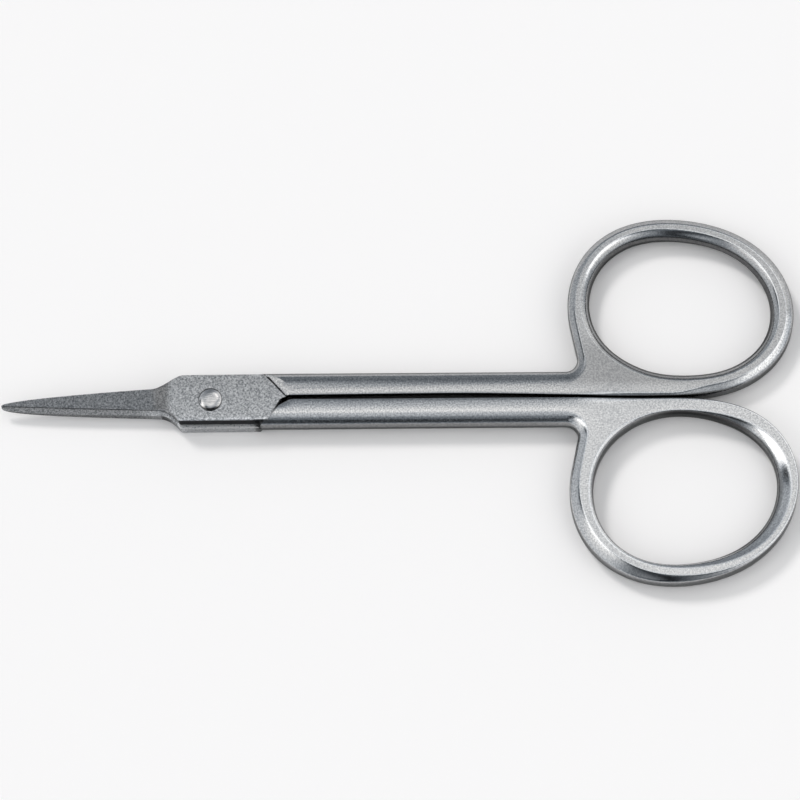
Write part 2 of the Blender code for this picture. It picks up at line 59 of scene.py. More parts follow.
# Shanks, with each edge rounded so far in from the side and so far down.
SLIT = 0.2 * MM
SHANK_THICK = 3.0 * MM
SHANK_STUB = 5.0 * MM
SLIT_OPENING_START = 7.5 * MM
SLIT_OPENING_END = 9.4 * MM
SLIT_NARROWING = 26.0 * MM
OWN_OUTER_ROUND = (1.6 * MM, 1.35 * MM)
OWN_INNER_ROUND = (1.3 * MM, 0.24 * MM)
OTHER_OUTER_ROUND = (1.85 * MM, 1.35 * MM)
OTHER_INNER_ROUND = (0.8 * MM, 0.07 * MM)
CONTACT_ROUND = (0.45 * MM, 0.4 * MM)

# Finger rings.
RING_CENTRE_X = 53.07 * MM
RING_RADIUS = 10.745 * MM
RING_OVAL = 1.015 * MM
RING_OVAL_TURN = math.radians(-6.5)
RING_EGG = 0.242 * MM
RING_EGG_TURN = math.radians(-10.5)
RING_SQUARE = 0.12 * MM
RING_SQUARE_TURN = math.radians(51)
RING_BAR_OUTSIDE = 1.17 * MM
RING_BAR_INSIDE = 1.36 * MM
RING_BAR_THICK = 2.5 * MM
RING_LEAVE = math.radians(190)
JUNCTION_FILLET = 1.3 * MM
THINNING_START = 41.0 * MM
THINNING_END = 50.0 * MM
CONTACT_SPREAD = math.radians(26)

# Bevels of the ring's bar. The own face is the one that the half shows when it lies on top.
OWN_RIM_NARROW = 0.15 * MM
OWN_RIM_WIDE = 1.2 * MM
OWN_RIM_TURN = math.radians(155)
OWN_RIM_FALL = 0.68
OTHER_RIM_FALL = 0.75
RIM_FOOT = 0.1
RIM_SIDE = 0.25 * MM
OWN_HOLE_NARROW = 0.5 * MM
OWN_HOLE_WIDE = 1.55 * MM
OWN_HOLE_TURN = math.radians(2)
OWN_HOLE_PEAK = 2.4
OWN_HOLE_FALL = 0.45
OWN_HOLE_FOOT = 0.22
OTHER_HOLE_FALL = 0.6
OTHER_HOLE_FOOT = 0.3
HOLE_DEPTH = 1.2 * MM
RIDGE_FLAT = 0.2 * MM
BEVEL_SOFTNESS = 0.15

# Rivet.
RIVET_SHAFT_R = 0.95 * MM
RIVET_HEAD_R = 1.25 * MM
RIVET_HEAD_SIDE = 0.28 * MM
RIVET_DOME = 0.2 * MM
RIVET_DOME_CURVE = 4
COUNTERBORE_DEPTH = 0.25 * MM
COUNTERBORE_CLEARANCE = 0.12 * MM
RIVET_PEEN_R = 1.25 * MM
RIVET_PEEN_DEPTH = 0.4 * MM
RUNNING_CLEARANCE = 0.03 * MM
SEAT_CLEARANCE = 0.02 * MM

# What differs between the two halves.
BACK = {
    "shoulder": 9.05 * MM, "shank_at_joint": 3.44 * MM, "shank_at_ring": 3.28 * MM,
    "slit_side": 0.52 * MM, "slit_bow": 0.04 * MM, "slit_opening": 0.0,
    "spine_at_root": 1.32 * MM, "spine_power": 0.3, "joint_side": 2.9 * MM,
    "swell_start": 5.9 * MM, "swell_end": 3.5 * MM, "swell_settle": 1,
    "ring_stretch": 0.985, "ring_swelling": (-0.12 * MM, -38, 22),
    "hole_shift": (-0.12 * MM, 0.06 * MM), "hole_swelling": (-0.85 * MM, -133, 32),
    "other_rim": 0.8 * MM, "other_hole": 0.95 * MM,
}
FRONT = {
    "shoulder": 8.5 * MM, "shank_at_joint": 3.05 * MM, "shank_at_ring": 3.12 * MM,
    "slit_side": -0.17 * MM, "slit_bow": 0.12 * MM, "slit_opening": 0.65 * MM,
    "spine_at_root": 1.43 * MM, "spine_power": 0.58, "joint_side": 3.0 * MM,
    "swell_start": 6.7 * MM, "swell_end": 3.1 * MM, "swell_settle": 2,
    "ring_stretch": 0.997, "ring_swelling": (-0.28 * MM, 135, 35),
    "hole_shift": (0.14 * MM, 0.26 * MM), "hole_swelling": (1.05 * MM, -88, 38),
    "other_rim": 0.2 * MM, "other_hole": 0.2 * MM,
}

# How finely the curves are divided.
RING_STEPS = 180
HOLE_STEPS = 168
ROUND_STEPS = 12
CURVE_STEPS = 16
BLADE_STEPS = 40
TURN_STEPS = 96

# Where a ring's lowest point is looked for, and over what step its heading is measured.
SEARCH_START = math.radians(-110)
SEARCH_END = math.radians(-60)
SEARCH_STEPS = 200
HEADING_STEP = math.radians(0.5)

# How far cutters reach past the piece, how near points merge, and which edges stay sharp.
CUT_MARGIN = 4.0 * MM
MERGE_DISTANCE = 0.0005 * MM
SHARP_ANGLE = math.radians(28)

# Finishes: the darkest and the lightest colour of each.
SATIN_COLOURS = ((0.38, 0.387, 0.40), (0.66, 0.665, 0.665))
BLASTED_COLOURS = ((0.18, 0.19, 0.20), (0.70, 0.705, 0.715))
POLISHED_COLOURS = ((0.42, 0.42, 0.43), (0.78, 0.77, 0.76))
BRIGHTEST = (0.96, 0.96, 0.96)
EDGE_REFLECTION = (0.4, 0.4, 0.4, 1.0)
# Painted light and shade: the back half gets a darker, shaded copy of the satin and the front half
# a lighter, lit one.
BACK_SHADED_LIGHTNESS = 0.92
FRONT_LIT_LIGHTNESS = 1.02

# Roughness, what the blasted finish and the rings' crests add, and how far the grain varies it.
SATIN_ROUGHNESS = 0.15
BLASTED_ADDS = 0.25
CREST_ADDS = 0.35
SATIN_SPREAD = 0.14
POLISHED_ROUGHNESS = 0.06
POLISHED_SPREAD = 0.2

# Grain: its scale and how strong the marks are. Bumps: their strength and height.
SATIN_GRAIN = (5200.0, 0.35)
POLISHED_GRAIN = (3000.0, 0.8)
SATIN_BUMP = (0.35, 0.012 * MM)
POLISHED_BUMP = (0.5, 0.015 * MM)
MARK_SCALE = 7000.0
MARK_STRETCH = (0.06, 1.0, 1.0)
SCRATCH_SCALE = 6500.0
SCRATCH_STRETCH = (0.12, 1.0, 1.0)
SCRATCH_TURN = math.radians(40)

# The middle of each finger ring, from which its shading is placed.
RING_MIDDLE_Y = 11.0 * MM

# Floor and studio.
FLOOR_HALF_WIDTH = 3.0
FLOOR_DROP = 0.02 * MM
FLOOR_COLOUR = (0.965, 0.95, 0.942, 1.0)
FLOOR_ROUGHNESS = 0.9
FLOOR_GLOSS = 0.1
WINDOW_AZIMUTH = 127
WINDOW_ZENITH = 44
WINDOW_ANGLE = math.radians(14)
WINDOW_STRENGTH = 1.05
WINDOW_COLOUR = (1.0, 0.985, 0.975)

# Soft panels of the studio: azimuth and zenith in degrees, how narrow, and how bright.
# A panel below zero is a dark one.
STUDIO_GREY = 0.985
PANELS = (
    (254, 67, 38.0, -2.1),
    (198, 36, 14.6, 2.08),
    (343, 51, 3.4, 1.91),
    (43, 77, 5.7, 1.81),
    (171, 54, 67.0, -1.23),
    (20, 68, 1.2, -2.1),
    (99, 13, 67.0, 0.84),
    (262, 52, 35.0, -0.42),
    (239, 37, 67.0, -1.39),
    (284, 88, 16.0, -0.5),
    (203, 26, 51.0, -2.1),
    (68, 34, 52.0, 1.55),
    (295, 33, 22.0, -0.96),
    (253, 66, 67.0, 2.18),
)
DARKEST_LIGHT = 0.025
BRIGHTEST_LIGHT = 2.6
DARK_TINT = (0.84, 0.95, 1.08, 1.0)
LIGHT_TINT = (1.0, 0.995, 0.985, 1.0)
LIGHT_TINT_SHARE = 0.9

# Camera, worked out from the outline in the photograph.
CAMERA_TILT = math.radians(18)
CAMERA_YAW = math.radians(-3.28)
CAMERA_ROLL = math.radians(0.642)
CAMERA_SHIFT = Vector((-21.424, -0.487, 0.0)) * MM
CAMERA_DISTANCE = 408.7 * MM
CAMERA_LENS = 162.247
CAMERA_SENSOR = 36.0
CAMERA_NEAR = 10.0 * MM


def clamped_share(value, start, end):
    return min(max((value - start) / (end - start), 0.0), 1.0)


def smooth_step(value, start, end):
    share = clamped_share(value, start, end)
    return share * share * (3.0 - 2.0 * share)


def mix(a, b, share):
    return a + (b - a) * share


def mix_pair(a, b, share):
    return mix(a[0], b[0], share), mix(a[1], b[1], share)


# Outlines


def arc_points(centre, radius, start, end, steps):
    angles = [mix(start, end, i / steps) for i in range(steps + 1)]
    return [(centre[0] + radius * math.cos(a), centre[1] + radius * math.sin(a)) for a in angles]


def ring_radius(angle):
    return (
        RING_RADIUS
        + RING_OVAL * math.cos(2 * (angle - RING_OVAL_TURN))
        + RING_EGG * math.cos(3 * (angle - RING_EGG_TURN))
        + RING_SQUARE * math.cos(4 * (angle - RING_SQUARE_TURN))
    )


def ring_lowest_angle():
    angles = [mix(SEARCH_START, SEARCH_END, i / SEARCH_STEPS) for i in range(SEARCH_STEPS)]
    return min(angles, key=lambda a: (ring_radius(a) + RING_BAR_OUTSIDE) * math.sin(a))


def swelling(angle, swell):
    """How far an outline stands out at an angle of the ring.

    A swell is its height, and its angle and spread in degrees.
    """
    height, middle, spread = swell
    off = math.remainder(angle - math.radians(middle), 2.0 * math.pi) / math.radians(spread)
    return height * math.exp(-off * off)


def ring_point(angle, offset, sizes):
    low = ring_lowest_angle()
    stretch = sizes["ring_stretch"]
    middle_y = SLIT / 2 - stretch * (ring_radius(low) + RING_BAR_OUTSIDE) * math.sin(low)
    radius = ring_radius(angle) + swelling(angle, sizes["ring_swelling"]) + offset
    return RING_CENTRE_X + radius * math.cos(angle), middle_y + stretch * radius * math.sin(angle)


def bevel(width, foot, fall, depth):
    """Corners of a bevel, as pairs of inset and drop, from the flat face down to the side."""
    return (width + RIDGE_FLAT, 0.0), (width, 0.0), (foot * width, fall * width), (0.0, depth)


def rim_bevels(angle, sizes):
    turn = 0.5 + 0.5 * math.cos(angle - OWN_RIM_TURN)
    own = mix(OWN_RIM_NARROW, OWN_RIM_WIDE, turn * turn)
    other = sizes["other_rim"]
    return (
        bevel(own, RIM_FOOT, OWN_RIM_FALL, OWN_RIM_FALL * own + RIM_SIDE),
        bevel(other, RIM_FOOT, OTHER_RIM_FALL, OTHER_RIM_FALL * other + RIM_SIDE),
    )


def hole_bevels(angle, sizes):
    turn = 0.5 + 0.5 * math.cos(angle - OWN_HOLE_TURN)
    bar = RING_BAR_OUTSIDE + RING_BAR_INSIDE
    left = min(1.0 - swelling(angle, sizes["hole_swelling"]) / bar, 1.0)
    own = left * left * mix(OWN_HOLE_NARROW, OWN_HOLE_WIDE, turn**OWN_HOLE_PEAK)
    return (
        bevel(own, OWN_HOLE_FOOT, OWN_HOLE_FALL, HOLE_DEPTH),
        bevel(sizes["other_hole"], OTHER_HOLE_FOOT, OTHER_HOLE_FALL, HOLE_DEPTH),
    )


def oval_edge(rounding, share):
    """Inset and drop part of the way down a quarter-oval edge."""
    angle = math.pi / 2 * (1.0 - share)
    return rounding[0] * (1.0 - math.cos(angle)), rounding[1] * (1.0 - math.sin(angle))


def bevelled_edge(corners, share):
    """Inset and drop part of the way down a bevel, its corners a little softened."""

    def corner_path(at):
        along = clamped_share(at, 0.0, 1.0) * (len(corners) - 1)
        i = min(int(along), len(corners) - 2)
        return mix_pair(corners[i], corners[i + 1], along - i)

    beside = mix_pair(corner_path(share - BEVEL_SOFTNESS), corner_path(share + BEVEL_SOFTNESS), 0.5)
    return mix_pair(beside, corner_path(share), 0.5)


def hole_outline(sizes):
    points = []
    for i in range(HOLE_STEPS):
        angle = -2.0 * math.pi * i / HOLE_STEPS
        x, y = ring_point(angle, swelling(angle, sizes["hole_swelling"]) - RING_BAR_INSIDE, sizes)
        place = x + sizes["hole_shift"][0], y + sizes["hole_shift"][1]
        points.append((*place, (CONTACT_ROUND, CONTACT_ROUND), hole_bevels(angle, sizes), 1.0))
    return points


def junction_outline(sizes):
    shank_side = sizes["shank_at_ring"]
    start = ring_point(RING_LEAVE, RING_BAR_OUTSIDE, sizes)
    ahead = ring_point(RING_LEAVE + HEADING_STEP, RING_BAR_OUTSIDE, sizes)
    heading = math.atan2(ahead[1] - start[1], ahead[0] - start[0])
    corner_x = start[0] + (start[1] - shank_side) / math.tan(-heading)
    back_off = JUNCTION_FILLET / math.tan(-heading / 2)
    centre = (corner_x - back_off, shank_side + JUNCTION_FILLET)
    return arc_points(centre, JUNCTION_FILLET, heading + math.pi / 2, -math.pi / 2, CURVE_STEPS)


def fitted(rounding, room):
    """An oval edge that leaves a narrow flat where there is little room for it."""
    return min(rounding[0], room - RIDGE_FLAT), rounding[1]


def handle_outline(sizes):
    """Shank and ring, anticlockwise from the slit's end.

    Each point has its ovals and its bevels, of the own face and of the other, and how far
    the bevels take over from the ovals.
    """
    low = ring_lowest_angle()
    narrowest = min(sizes["shank_at_joint"], sizes["shank_at_ring"])
    stretches = (SLIT_OPENING_START, SLIT_OPENING_END, THINNING_START, THINNING_END)
    slit = [SHANK_STUB]
    for start, end in zip(stretches, stretches[1:]):
        slit += [mix(start, end, i / CURVE_STEPS) for i in range(CURVE_STEPS)]
    points = []
    for x in slit:
        bow = math.sin(math.pi * clamped_share(x, SHANK_STUB, THINNING_END))
        opening = 1.0 - smooth_step(x, SLIT_OPENING_START, SLIT_OPENING_END)
        open_side = sizes["slit_side"] + sizes["slit_bow"] * bow + sizes["slit_opening"] * opening
        side = mix(open_side, SLIT / 2, smooth_step(x, SLIT_NARROWING, THINNING_END))
        share = smooth_step(x, THINNING_START, THINNING_END)
        own = fitted(OWN_INNER_ROUND, narrowest - side - OWN_OUTER_ROUND[0])
        other = fitted(OTHER_INNER_ROUND, narrowest - side - OTHER_OUTER_ROUND[0])
        ovals = (mix_pair(own, CONTACT_ROUND, share), mix_pair(other, CONTACT_ROUND, share))
        points.append((x, side, ovals, rim_bevels(low, sizes), 0.0))
    for i in range(RING_STEPS + 1):
        angle = mix(low, RING_LEAVE, i / RING_STEPS)
        share = smooth_step(angle, low, low + CONTACT_SPREAD)
        place = ring_point(angle, RING_BAR_OUTSIDE, sizes)
        points.append((*place, (CONTACT_ROUND, CONTACT_ROUND), rim_bevels(angle, sizes), share))
    ovals = (OWN_OUTER_ROUND, OTHER_OUTER_ROUND)
    fillet = junction_outline(sizes)
    for i, point in enumerate(fillet):
        points.append((*point, ovals, rim_bevels(RING_LEAVE, sizes), 1.0 - i / (len(fillet) - 1)))
    points.append((SHANK_STUB, sizes["shank_at_joint"], ovals, rim_bevels(RING_LEAVE, sizes), 0.0))
    return points


def spine_width(x, sizes):
    along = (x + TIP_REACH) / (TIP_REACH - BLADE_ROOT)
    swell = clamped_share(x, -sizes["swell_start"], -sizes["swell_end"]) ** 2
    blade = sizes["spine_at_root"] * along ** sizes["spine_power"]
    return mix(blade, sizes["joint_side"], 1.0 - (1.0 - swell) ** sizes["swell_settle"])


def edge_width(x):
    blade = mix(EDGE_AT_TIP, EDGE_AT_ROOT, (x + TIP_REACH) / (TIP_REACH - BLADE_ROOT))
    return mix(blade, JOINT_EDGE_SIDE, clamped_share(x, -NOTCH_START, -JOINT_FRONT) ** 2)


def blade_stations():
    start = -TIP_REACH + TIP_LAND
    stations = [mix(start, -BLADE_ROOT, (i / BLADE_STEPS) ** 2) for i in range(BLADE_STEPS)]
    steps = 2 * CURVE_STEPS
    return stations + [mix(-BLADE_ROOT, -FRONT["swell_end"], i / steps) for i in range(steps + 1)]


def ground_thickness(x, from_edge):
    """The wedge of the blade, blended into the joint's flat face."""
    slope = (SPINE_THICK - EDGE_LAND) / (FRONT["spine_at_root"] + EDGE_AT_ROOT)
    wedge = min(EDGE_LAND + slope * from_edge, LEAF_THICK)
    return mix(wedge, LEAF_THICK, smooth_step(x, -BLADE_ROOT, -GRIND_END))


def leaf_sides(sizes):
    edge = []
    spine = []
    for x in blade_stations():
        to_edge = edge_width(x)
        to_spine = spine_width(x, sizes)
        edge.append((x, to_edge, ground_thickness(x, 0.0)))
        spine.append((x, -to_spine, ground_thickness(x, to_edge + to_spine)))
    return edge, spine


def leaf_end(end_reach, spine_side):
    end = end_reach - SHOULDER_CLEARANCE
    nose_x = end_reach - NOSE_SETBACK
    corners = (
        (end - spine_side, -spine_side),
        (end - NOSE_HALF_WIDTH, -NOSE_HALF_WIDTH),
        (nose_x, 0.0),
        (nose_x - NOSE_SLOPE * JOINT_EDGE_SIDE, JOINT_EDGE_SIDE),
    )
    return [(x, y, LEAF_THICK) for x, y in corners]


# Meshes


def inward_normals(points):
    normals = []
    for i, point in enumerate(points):
        before = points[i - 1]
        after = points[(i + 1) % len(points)]
        along = Vector((after[0] - before[0], after[1] - before[1])).normalized()
        normals.append(Vector((-along.y, along.x)))
    return normals


def drawn_loops(bm, points, levels):
    """Draws an outline at the first level, then extrudes it from each level to the next."""
    place = bm.verts.layers.int.get("place") or bm.verts.layers.int.new("place")
    normals = inward_normals(points)

    def settle(verts, level):
        for vertex in verts:
            i = vertex[place]
            inset, z = level(points[i])
            x, y = points[i][0], points[i][1]
            vertex.co = (x + normals[i].x * inset, y + normals[i].y * inset, z)

    loop = [bm.verts.new() for point in points]
    for i, vertex in enumerate(loop):
        vertex[place] = i
    edges = [bm.edges.new((loop[i - 1], loop[i])) for i in range(len(loop))]
    settle(loop, levels[0])
    loops = [loop]
    for level in levels[1:]:
        extruded = bmesh.ops.extrude_edge_only(bm, edges=edges)["geom"]
        verts = [part for part in extruded if isinstance(part, bmesh.types.BMVert)]
        loop = sorted(verts, key=lambda vertex: vertex[place])
        edges = [part for part in extruded if isinstance(part, bmesh.types.BMEdge)]
        settle(loop, level)
        loops.append(loop)
    return loops


def loop_edges(bm, loop):
    return [bm.edges.get((loop[i - 1], loop[i])) for i in range(len(loop))]


def object_from(bm, name):
    bmesh.ops.remove_doubles(bm, verts=bm.verts, dist=MERGE_DISTANCE)
    bmesh.ops.recalc_face_normals(bm, faces=bm.faces)
    mesh = bpy.data.meshes.new(name)
    bm.to_mesh(mesh)
    bm.free()
    obj = bpy.data.objects.new(name, mesh)
    bpy.context.scene.collection.objects.link(obj)
    return obj


def edge_level(down, side):
    """Places an outline part of the way down the edge of one face."""

    def level(point):
        x, _, ovals, bevels, share = point
        face = 0 if side < 0 else 1
        edge = mix_pair(oval_edge(ovals[face], down), bevelled_edge(bevels[face], down), share)
        thick = mix(SHANK_THICK, RING_BAR_THICK, smooth_step(x, THINNING_START, THINNING_END))
        return edge[0], side * (thick / 2 - edge[1])

    return level


def handle(name, sizes):
    shares = [i / ROUND_STEPS for i in range(ROUND_STEPS + 1)]
    levels = [edge_level(s, -1) for s in shares] + [edge_level(s, 1) for s in reversed(shares)]
    bm = bmesh.new()
    outer = drawn_loops(bm, handle_outline(sizes), levels)
    hole = drawn_loops(bm, hole_outline(sizes), levels)
    for i in (0, -1):
        edges = loop_edges(bm, outer[i]) + loop_edges(bm, hole[i])
        bmesh.ops.triangle_fill(bm, edges=edges, use_beauty=True)
    return object_from(bm, name)


def leaf(name, sizes, end_reach):
    edge, spine = leaf_sides(sizes)
    outline = edge[::-1] + spine + leaf_end(end_reach, sizes["joint_side"])

    def edge_break(point):
        return EDGE_BREAK * point[2] / LEAF_THICK

    levels = (
        lambda point: (edge_break(point), -point[2]),
        lambda point: (0.0, edge_break(point) - point[2]),
        lambda point: (0.0, LEAF_OVERRUN),
    )
    bm = bmesh.new()
    loops = drawn_loops(bm, outline, levels)
    last = len(edge) - 1
    for loop in (loops[0], loops[-1]):
        for i in range(last):
            edge_end, spine_end = last - i, last + 1 + i
            bm.faces.new((loop[edge_end], loop[edge_end - 1], loop[spine_end + 1], loop[spine_end]))
        bm.faces.new([loop[0], *reversed(loop[2 * last + 1 :])])
    return object_from(bm, name)


def prism(name, corners, low, high):
    bm = bmesh.new()
    face = bm.faces.new([bm.verts.new((x, y, low)) for x, y in corners])
    lifted = bmesh.ops.extrude_face_region(bm, geom=[face])
    top = [v for v in lifted["geom"] if isinstance(v, bmesh.types.BMVert)]
    bmesh.ops.translate(bm, verts=top, vec=(0.0, 0.0, high - low))
    return object_from(bm, name)


def turned(name, profile):
    """Spins (radius, z) points about the pivot into a closed solid."""
    bm = bmesh.new()
    verts = [bm.verts.new((r, 0.0, z)) for r, z in profile]
    edges = [bm.edges.new(pair) for pair in zip(verts, verts[1:])]
    bmesh.ops.spin(
        bm, geom=verts + edges, axis=(0, 0, 1), cent=(0, 0, 0), angle=2 * math.pi,
        steps=TURN_STEPS, use_merge=True, use_duplicate=False,
    )
    return object_from(bm, name)


def shoulder_cutter(name, reach):
    far = TIP_REACH + CUT_MARGIN
    wide = BACK["shank_at_joint"] + CUT_MARGIN
    corners = ((-far, -wide), (reach, -wide), (reach, 0.0), (reach - wide, wide), (-far, wide))
    return prism(name, corners, -LEAF_CLEARANCE / 2, LEAF_THICK + CUT_MARGIN)


def corner_cutter(name, reach):
    wide = BACK["shank_at_joint"] + CUT_MARGIN
    reach += SHOULDER_RELIEF
    start = reach - JOINT_EDGE_SIDE
    corners = ((0.0, JOINT_EDGE_SIDE), (start, JOINT_EDGE_SIDE), (reach - wide, wide), (0.0, wide))
    return prism(name, corners, -LEAF_THICK - CUT_MARGIN, LEAF_THICK + CUT_MARGIN)


def facet_cutter(name, reach):
    centre = Vector((reach - FACET_SETBACK, FACET_SETBACK, SHANK_THICK / 2 - FACET_DEPTH))
    along_x = Vector((1.0, 0.0, FACET_RISE_X)).normalized()
    normal = along_x.cross(Vector((0.0, 1.0, FACET_RISE_Y))).normalized()
    frame_of_cut = Matrix((along_x, normal.cross(along_x), normal)).transposed().to_4x4()
    bm = bmesh.new()
    bmesh.ops.create_cube(bm, size=1.0)
    bmesh.ops.scale(bm, vec=FACET_CUTTER, verts=bm.verts)
    bmesh.ops.translate(bm, verts=bm.verts, vec=(0.0, 0.0, FACET_CUTTER.z / 2))
    bmesh.ops.transform(bm, matrix=Matrix.Translation(centre) @ frame_of_cut, verts=bm.verts)
    return object_from(bm, name)


def boolean(obj, cutter, operation="DIFFERENCE"):
    modifier = obj.modifiers.new(cutter.name, "BOOLEAN")
    modifier.operation = operation
    modifier.object = cutter


def half(name, sizes, other_shoulder, bore_profile):
    """One half in its own frame: the flat at z = 0 and the leaf below it."""
    body = handle(name, sizes)
    cutters = [corner_cutter(name + "_shank_end", sizes["shoulder"])]
    boolean(body, cutters[0])
    cutters.append(leaf(name + "_leaf", sizes, other_shoulder))
    boolean(body, cutters[-1], "UNION")
    for cutter in (
        shoulder_cutter(name + "_shoulder", sizes["shoulder"]),
        facet_cutter(name + "_facet", sizes["shoulder"]),
        turned(name + "_bore", bore_profile),
    ):
        boolean(body, cutter)
        cutters.append(cutter)
    bpy.context.view_layer.update()
    graph = bpy.context.evaluated_depsgraph_get()
    finished = bpy.data.meshes.new_from_object(body.evaluated_get(graph))
    body.modifiers.clear()
    body.data = finished
    for cutter in cutters:
        bpy.data.objects.remove(cutter, do_unlink=True)
    return body


def peened_bore():
    shaft = RIVET_SHAFT_R + SEAT_CLEARANCE
    peen = RIVET_PEEN_R + SEAT_CLEARANCE
    slope = (RIVET_PEEN_R - RIVET_SHAFT_R) / RIVET_PEEN_DEPTH
    return (
        (0.0, CUT_MARGIN),
        (shaft, CUT_MARGIN),
        (shaft, -LEAF_THICK + RIVET_PEEN_DEPTH),
        (peen, -LEAF_THICK),
        (peen + slope * CUT_MARGIN, -LEAF_THICK - CUT_MARGIN),
        (0.0, -LEAF_THICK - CUT_MARGIN),
    )


def headed_bore():
    shaft = RIVET_SHAFT_R + RUNNING_CLEARANCE
    recess = RIVET_HEAD_R + COUNTERBORE_CLEARANCE
    return (
        (0.0, CUT_MARGIN),
        (shaft, CUT_MARGIN),
        (shaft, -LEAF_THICK + COUNTERBORE_DEPTH),
        (recess, -LEAF_THICK + COUNTERBORE_DEPTH),
        (recess, -LEAF_THICK - CUT_MARGIN),
        (0.0, -LEAF_THICK - CUT_MARGIN),
    )


def rivet(name):
    head_under = 2 * LEAF_THICK - COUNTERBORE_DEPTH + SEAT_CLEARANCE
    rim = head_under + RIVET_HEAD_SIDE
    profile = []
    for i in range(2 * ROUND_STEPS):
        out = math.sin(math.pi / 2 * i / (2 * ROUND_STEPS - 1))
        profile.append((RIVET_HEAD_R * out, rim + RIVET_DOME * (1.0 - out**RIVET_DOME_CURVE)))
    profile += [
        (RIVET_HEAD_R, head_under),
        (RIVET_SHAFT_R, head_under),
        (RIVET_SHAFT_R, RIVET_PEEN_DEPTH),
        (RIVET_PEEN_R, 0.0),
        (0.0, 0.0),
    ]
    return turned(name, profile)


def seat(obj, turn_over):
    """Puts a half where it belongs, in its mesh."""
    matrix = Matrix.Translation((0.0, 0.0, LEAF_THICK))
    if turn_over:
        matrix = matrix @ Matrix.Rotation(math.pi, 4, "X")
    obj.data.transform(matrix)


def shade(obj, material):
    """Shades a piece smooth between its sharp edges, and gives it its finish."""
    obj.data.shade_smooth()
    obj.data.set_sharp_from_angle(angle=SHARP_ANGLE)
    obj.data.materials.clear()
    obj.data.materials.append(material)


# Materials


def math_node(tree, operation, a, b=0.0, c=0.0, clamp=False):
    """A Math node. An input is a socket where another node feeds it, or else a number."""
    node = tree.nodes.new("ShaderNodeMath")
    node.operation = operation
    node.use_clamp = clamp
    for socket, value in zip(node.inputs, (a, b, c)):
        if isinstance(value, bpy.types.NodeSocket):
            tree.links.new(value, socket)
        else:
            socket.default_value = value
    return node.outputs[0]


def ramp(tree, value, low, high, at_low, at_high):
    """Turns a value into another one, smoothly from at_low to at_high."""
    node = tree.nodes.new("ShaderNodeMapRange")
    node.interpolation_type = "SMOOTHSTEP"
    tree.links.new(value, node.inputs["Value"])
    numbers = {"From Min": low, "From Max": high, "To Min": at_low, "To Max": at_high}
    for name, number in numbers.items():
        node.inputs[name].default_value = number
    return node.outputs["Result"]


def new_group(name, inputs, outputs):
    tree = bpy.data.node_groups.new(name, "ShaderNodeTree")
    for direction, sockets in (("INPUT", inputs), ("OUTPUT", outputs)):
        for socket_name, default in sockets:
            socket = tree.interface.new_socket(
                socket_name, in_out=direction, socket_type="NodeSocketFloat"
            )
            socket.default_value = default
    return tree, tree.nodes.new("NodeGroupInput"), tree.nodes.new("NodeGroupOutput")


def noise(tree, vector, scale, detail=2.0, roughness=0.5):
    node = tree.nodes.new("ShaderNodeTexNoise")
    tree.links.new(vector, node.inputs["Vector"])
    if isinstance(scale, bpy.types.NodeSocket):
        tree.links.new(scale, node.inputs["Scale"])
    else:
        node.inputs["Scale"].default_value = scale
    node.inputs["Detail"].default_value = detail
    node.inputs["Roughness"].default_value = roughness
    return node.outputs["Fac"]


def grain_group():
    """Fine blasted grain, and a height that adds faint marks along the bar to it."""
    grain_scale, mark_strength = SATIN_GRAIN
    tree, entry, leave = new_group(
        "steel_grain",
        (("Grain Scale", grain_scale), ("Mark Strength", mark_strength)),
        (("Grain", 0.5), ("Height", 0.5)),
    )
    place = tree.nodes.new("ShaderNodeTexCoord").outputs["Object"]
    grain = noise(tree, place, entry.outputs["Grain Scale"], 3.0, 0.6)
    along = tree.nodes.new("ShaderNodeMapping")
    along.inputs["Scale"].default_value = MARK_STRETCH
    tree.links.new(place, along.inputs["Vector"])
    marks = noise(tree, along.outputs["Vector"], MARK_SCALE)
    mark_height = math_node(tree, "MULTIPLY", marks, entry.outputs["Mark Strength"])
    tree.links.new(grain, leave.inputs["Grain"])
    tree.links.new(math_node(tree, "ADD", grain, mark_height), leave.inputs["Height"])
    return tree


def new_material(name):
    material = bpy.data.materials.new(name)
    material.use_nodes = True
    tree = material.node_tree
    shader = tree.nodes["Principled BSDF"]
    shader.inputs["Metallic"].default_value = 1.0
    return material, tree, shader


def mixed_colour(tree, share, dark, light):
    node = tree.nodes.new("ShaderNodeMix")
    node.data_type = "RGBA"
    tree.links.new(share, node.inputs["Factor"])
    node.inputs["A"].default_value = (*dark, 1.0)
    node.inputs["B"].default_value = (*light, 1.0)
    return node.outputs["Result"]


def bump(tree, shader, height, strength, distance):
    node = tree.nodes.new("ShaderNodeBump")
    node.inputs["Strength"].default_value = strength
    node.inputs["Distance"].default_value = distance
    tree.links.new(height, node.inputs["Height"])
    tree.links.new(node.outputs["Normal"], shader.inputs["Normal"])


def place_grain(tree, group, scale, marks):
    node = tree.nodes.new("ShaderNodeGroup")
    node.node_tree = group
    node.inputs["Grain Scale"].default_value = scale
    node.inputs["Mark Strength"].default_value = marks
    return node


def scaled_colour(tree, colour, share):
    """A colour made darker or lighter by a share, and never lighter than polished steel."""
    node = tree.nodes.new("ShaderNodeVectorMath")
    node.operation = "SCALE"
    tree.links.new(colour, node.inputs[0])
    tree.links.new(share, node.inputs["Scale"])
    limit = tree.nodes.new("ShaderNodeVectorMath")
    limit.operation = "MINIMUM"
    tree.links.new(node.outputs["Vector"], limit.inputs[0])
    limit.inputs[1].default_value = BRIGHTEST
    return limit.outputs["Vector"]


